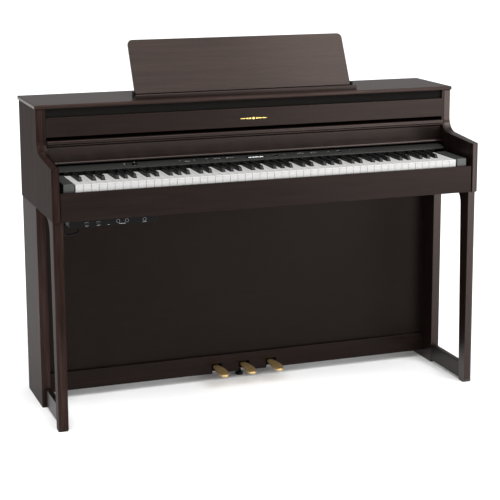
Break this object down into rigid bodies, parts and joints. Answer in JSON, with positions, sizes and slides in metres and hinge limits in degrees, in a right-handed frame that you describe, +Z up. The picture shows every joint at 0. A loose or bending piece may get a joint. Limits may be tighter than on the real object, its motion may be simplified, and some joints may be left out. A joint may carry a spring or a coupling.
{
  "type": "digital piano on stand",
  "caption": "Digital piano in a dark wood cabinet on an open-sided stand, with a full keyboard, sliding lid, folding music rest, control panel and brass pedals.",
  "frame": {"origin": "on the floor, under the middle of the piano's overall box", "axes": "+Z up, front (player's side) faces -Y, +X to the player's right"},
  "size_m": [1.377, 0.466, 1.1208],
  "materials": {
    "rosewood": "satin dark rosewood grain",
    "dark_board": "matt dark board",
    "panel_grey": "satin dark grey",
    "black_plastic": "satin black",
    "key_white": "ivory feel, satin",
    "key_black": "ebony feel, satin",
    "block_grey": "satin grey",
    "grille_cloth": "woven speaker cloth",
    "steel": "zinc plated",
    "brass": "polished",
    "circuit": "circuit board"
  },
  "bodies": {
    "cabinet": {"adjuster_foot": "black_plastic", "back_panel": "dark_board", "control_panel": "panel_grey", "display_window": "black_plastic", "foot_rail_left": "rosewood", "foot_rail_right": "rosewood", "front_leg_left": "rosewood", "front_leg_right": "rosewood", "headphone_hook": "black_plastic", "key_block_left": "block_grey", "key_block_right": "block_grey", "key_frame": "steel", "key_pivot_rail": "dark_board", "key_slip": "rosewood", "keybed": "dark_board", "knee_panel": "dark_board", "lid_guide_left": "rosewood", "lid_guide_right": "rosewood", "lower_board": "rosewood", "main_board": "circuit", "music_ledge": "rosewood", "pedal_box": "dark_board", "pedal_rail": "rosewood", "power_board": "circuit", "power_inlet": "black_plastic", "rear_leg_left": "rosewood", "rear_leg_right": "rosewood", "rest_bracket_left": "black_plastic", "rest_bracket_right": "black_plastic", "side_board_left": "rosewood", "side_board_right": "rosewood", "socket_box": "black_plastic", "speaker_grille": "grille_cloth", "speaker_left": "black_plastic", "speaker_right": "black_plastic", "top_board": "rosewood", "tweeter_left": "black_plastic", "tweeter_right": "black_plastic", "upper_panel": "rosewood"},
    "lid": {"lid_plate": "rosewood", "lid_rail": "rosewood"},
    "music_rest": {"music_rest": "rosewood"},
    "rest_stay": {"rest_stay": "black_plastic"},
    "pedal_left": {"pedal_left": "brass"},
    "pedal_middle": {"pedal_middle": "brass"},
    "pedal_right": {"pedal_right": "brass"},
    "power_button": {"power_button": "black_plastic"},
    "tone_button": {"tone_button": "black_plastic"},
    "play_button": {"play_button": "black_plastic"},
    "volume_knob": {"volume_knob": "black_plastic"},
    "select_dial": {"select_dial": "black_plastic"},
    "key_c": {"key_c": "key_white"},
    "key_c_sharp": {"key_c_sharp": "key_black"},
    "key_d": {"key_d": "key_white"},
    "key_d_sharp": {"key_d_sharp": "key_black"},
    "key_e": {"key_e": "key_white"},
    "white_keys_low": {"white_keys_low": "key_white"},
    "white_keys_high": {"white_keys_high": "key_white"},
    "black_keys_low": {"black_keys_low": "key_black"},
    "black_keys_high": {"black_keys_high": "key_black"}
  },
  "joints": [
    {"name": "lid_slide", "type": "slide", "parent": "cabinet", "child": "lid", "axis": [0, -0.9511, -0.309], "range_m": [0, 0.205]},
    {"name": "rest_hinge", "type": "hinge", "parent": "cabinet", "child": "music_rest", "pos_m": [0, 0.053, 0.9625], "axis": [-1, 0, 0], "range_deg": [0, 63]},
    {"name": "stay_hinge", "type": "hinge", "parent": "music_rest", "child": "rest_stay", "pos_m": [0, 0.09392, 1.02695], "axis": [1, 0, 0], "range_deg": [0, 120]},
    {"name": "pedal_left_press", "type": "hinge", "parent": "cabinet", "child": "pedal_left", "pos_m": [-0.094, 0.152, 0.0485], "axis": [1, 0, 0], "range_deg": [0, 4.8], "stiffness_Nm_per_rad": 20, "springref_deg": -2.86},
    {"name": "pedal_middle_press", "type": "hinge", "parent": "cabinet", "child": "pedal_middle", "pos_m": [0, 0.152, 0.0485], "axis": [1, 0, 0], "range_deg": [0, 4.8], "stiffness_Nm_per_rad": 20, "springref_deg": -2.86},
    {"name": "pedal_right_press", "type": "hinge", "parent": "cabinet", "child": "pedal_right", "pos_m": [0.094, 0.152, 0.0485], "axis": [1, 0, 0], "range_deg": [0, 4.8], "stiffness_Nm_per_rad": 20, "springref_deg": -2.86},
    {"name": "power_button_press", "type": "slide", "parent": "cabinet", "child": "power_button", "axis": [0, 0.165, -0.9863], "range_m": [0, 0.0012], "stiffness_N_per_m": 300, "springref_m": -0.002},
    {"name": "tone_button_press", "type": "slide", "parent": "cabinet", "child": "tone_button", "axis": [0, 0.165, -0.9863], "range_m": [0, 0.0012], "stiffness_N_per_m": 300, "springref_m": -0.002},
    {"name": "play_button_press", "type": "slide", "parent": "cabinet", "child": "play_button", "axis": [0, 0.165, -0.9863], "range_m": [0, 0.0012], "stiffness_N_per_m": 300, "springref_m": -0.002},
    {"name": "volume_turn", "type": "hinge", "parent": "cabinet", "child": "volume_knob", "pos_m": [-0.39, -0.04383, 0.75846], "axis": [0, -0.165, 0.9863], "range_deg": [-140, 140]},
    {"name": "select_turn", "type": "hinge", "parent": "cabinet", "child": "select_dial", "pos_m": [0.068, -0.04383, 0.75846], "axis": [0, -0.165, 0.9863], "continuous": true},
    {"name": "key_c_press", "type": "hinge", "parent": "cabinet", "child": "key_c", "pos_m": [0, 0.008, 0.717], "axis": [1, 0, 0], "range_deg": [0, 2.6], "stiffness_Nm_per_rad": 1.2, "springref_deg": -11.46},
    {"name": "key_c_sharp_press", "type": "hinge", "parent": "cabinet", "child": "key_c_sharp", "pos_m": [0, 0.026, 0.717], "axis": [1, 0, 0], "range_deg": [0, 2.9], "stiffness_Nm_per_rad": 0.7, "springref_deg": -11.46},
    {"name": "key_d_press", "type": "hinge", "parent": "cabinet", "child": "key_d", "pos_m": [0, 0.008, 0.717], "axis": [1, 0, 0], "range_deg": [0, 2.6], "stiffness_Nm_per_rad": 1.2, "springref_deg": -11.46},
    {"name": "key_d_sharp_press", "type": "hinge", "parent": "cabinet", "child": "key_d_sharp", "pos_m": [0, 0.026, 0.717], "axis": [1, 0, 0], "range_deg": [0, 2.9], "stiffness_Nm_per_rad": 0.7, "springref_deg": -11.46},
    {"name": "key_e_press", "type": "hinge", "parent": "cabinet", "child": "key_e", "pos_m": [0, 0.008, 0.717], "axis": [1, 0, 0], "range_deg": [0, 2.6], "stiffness_Nm_per_rad": 1.2, "springref_deg": -11.46},
    {"name": "white_keys_low_press", "type": "hinge", "parent": "cabinet", "child": "white_keys_low", "pos_m": [0, 0.008, 0.717], "axis": [1, 0, 0], "range_deg": [0, 2.6], "stiffness_Nm_per_rad": 27.6, "springref_deg": -11.46},
    {"name": "white_keys_high_press", "type": "hinge", "parent": "cabinet", "child": "white_keys_high", "pos_m": [0, 0.008, 0.717], "axis": [1, 0, 0], "range_deg": [0, 2.6], "stiffness_Nm_per_rad": 31.2, "springref_deg": -11.46},
    {"name": "black_keys_low_press", "type": "hinge", "parent": "cabinet", "child": "black_keys_low", "pos_m": [0, 0.026, 0.717], "axis": [1, 0, 0], "range_deg": [0, 2.9], "stiffness_Nm_per_rad": 11.2, "springref_deg": -11.46},
    {"name": "black_keys_high_press", "type": "hinge", "parent": "cabinet", "child": "black_keys_high", "pos_m": [0, 0.026, 0.717], "axis": [1, 0, 0], "range_deg": [0, 2.9], "stiffness_Nm_per_rad": 12.6, "springref_deg": -11.46}
  ],
  "couplings": [
    {"joint": "stay_hinge", "follows": "rest_hinge", "ratio": 1.878}
  ]
}
